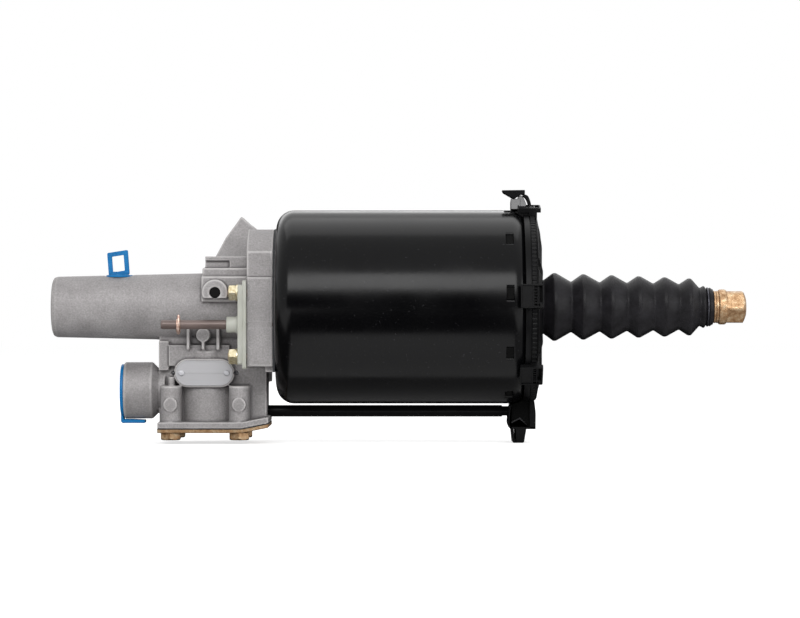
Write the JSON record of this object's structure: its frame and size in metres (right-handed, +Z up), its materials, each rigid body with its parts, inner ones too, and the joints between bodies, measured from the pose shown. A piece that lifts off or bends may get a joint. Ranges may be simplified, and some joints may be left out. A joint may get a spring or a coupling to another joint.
{
  "type": "clutch servo",
  "caption": "Air-assisted hydraulic clutch servo: die-cast valve and slave cylinder housing, black air cylinder, rubber boot and push rod.",
  "frame": {"origin": "centre of the two mounting holes, on the mounting face of the housing", "axes": "+X along the push rod towards its tip, +Y out of the mounting face, +Z up as pictured"},
  "size_m": [0.4733, 0.1398, 0.1725],
  "materials": {
    "die_cast": "as-cast, fine blasted",
    "plate_aluminium": "brushed",
    "black_paint": "gloss paint",
    "black_plastic": "satin moulded",
    "black_rubber": "matte moulded rubber",
    "yellow_zinc": "yellow zinc plating",
    "brass_yellow": "yellow zinc plating, bright",
    "plain_steel": "ground",
    "brown_rod": "phosphated, oiled",
    "copper_ring": "copper washer",
    "nylon": "milky moulded nylon",
    "blue_plastic": "moulded transit plug",
    "bronze": "turned bearing bronze",
    "gasket_paper": "gasket sheet",
    "spring_steel": "oiled spring wire"
  },
  "bodies": {
    "housing": {"control_housing": "die_cast", "joint_gasket": "gasket_paper", "valve_gasket": "gasket_paper", "valve_cover_plate": "yellow_zinc", "cover_bolts": "yellow_zinc", "name_plate": "plate_aluminium", "plate_rivets": "plate_aluminium", "sealing_balls": "plain_steel", "indicator_bracket": "nylon", "cylinder_studs": "brass_yellow", "stud_washers": "brass_yellow", "stud_nuts": "brass_yellow", "air_cylinder": "black_paint", "end_cover": "black_plastic", "breather_pipe": "black_plastic", "pipe_seals": "black_rubber", "guide_bush": "bronze", "bush_seal": "black_rubber", "rod_seal": "black_rubber", "bush_retaining_ring": "spring_steel", "valve_seat": "bronze", "spring_plate": "plain_steel", "preload_spring": "spring_steel", "relay_spring": "spring_steel", "inlet_spring": "spring_steel", "boot": "black_rubber"},
    "push_rod": {"piston_rod": "plain_steel", "hydraulic_seals": "black_rubber", "air_piston": "plate_aluminium", "piston_lip_seal": "black_rubber", "piston_guide_ring": "nylon", "piston_retaining_ring": "spring_steel", "push_rod": "plain_steel", "tip_washers": "yellow_zinc", "push_rod_nut": "yellow_zinc", "boot_wire_ring": "spring_steel"},
    "indicator": {"indicator_rod": "brown_rod", "friction_ring": "copper_ring"},
    "relay": {"relay_piston": "plate_aluminium", "relay_piston_seal": "black_rubber"},
    "inlet": {"inlet_valve": "black_rubber"},
    "supply_cap": {"supply_port_cap": "blue_plastic"},
    "feed_plug": {"hydraulic_port_plug": "blue_plastic"}
  },
  "joints": [
    {"name": "push_rod_slide", "type": "slide", "parent": "housing", "child": "push_rod", "axis": [1, 0, 0], "range_m": [-0.07, 0], "stiffness_N_per_m": 150, "springref_m": 0.3, "deforming": ["boot", "preload_spring"]},
    {"name": "indicator_slide", "type": "slide", "parent": "housing", "child": "indicator", "axis": [1, 0, 0], "range_m": [-0.04, 0.028]},
    {"name": "relay_slide", "type": "slide", "parent": "housing", "child": "relay", "axis": [0, 0, 1], "range_m": [-0.0025, 0], "stiffness_N_per_m": 800, "springref_m": 0.004, "deforming": ["relay_spring"]},
    {"name": "inlet_slide", "type": "slide", "parent": "housing", "child": "inlet", "axis": [0, 0, 1], "range_m": [-0.0025, 0], "stiffness_N_per_m": 800, "springref_m": 0.004, "deforming": ["inlet_spring"]},
    {"name": "supply_cap_pull", "type": "slide", "parent": "housing", "child": "supply_cap", "axis": [-1, 0, 0], "range_m": [0, 0.03]},
    {"name": "feed_plug_pull", "type": "slide", "parent": "housing", "child": "feed_plug", "axis": [0, 0, 1], "range_m": [0, 0.015]}
  ],
  "couplings": [
    {"joint": "inlet_slide", "follows": "relay_slide", "ratio": 1}
  ]
}
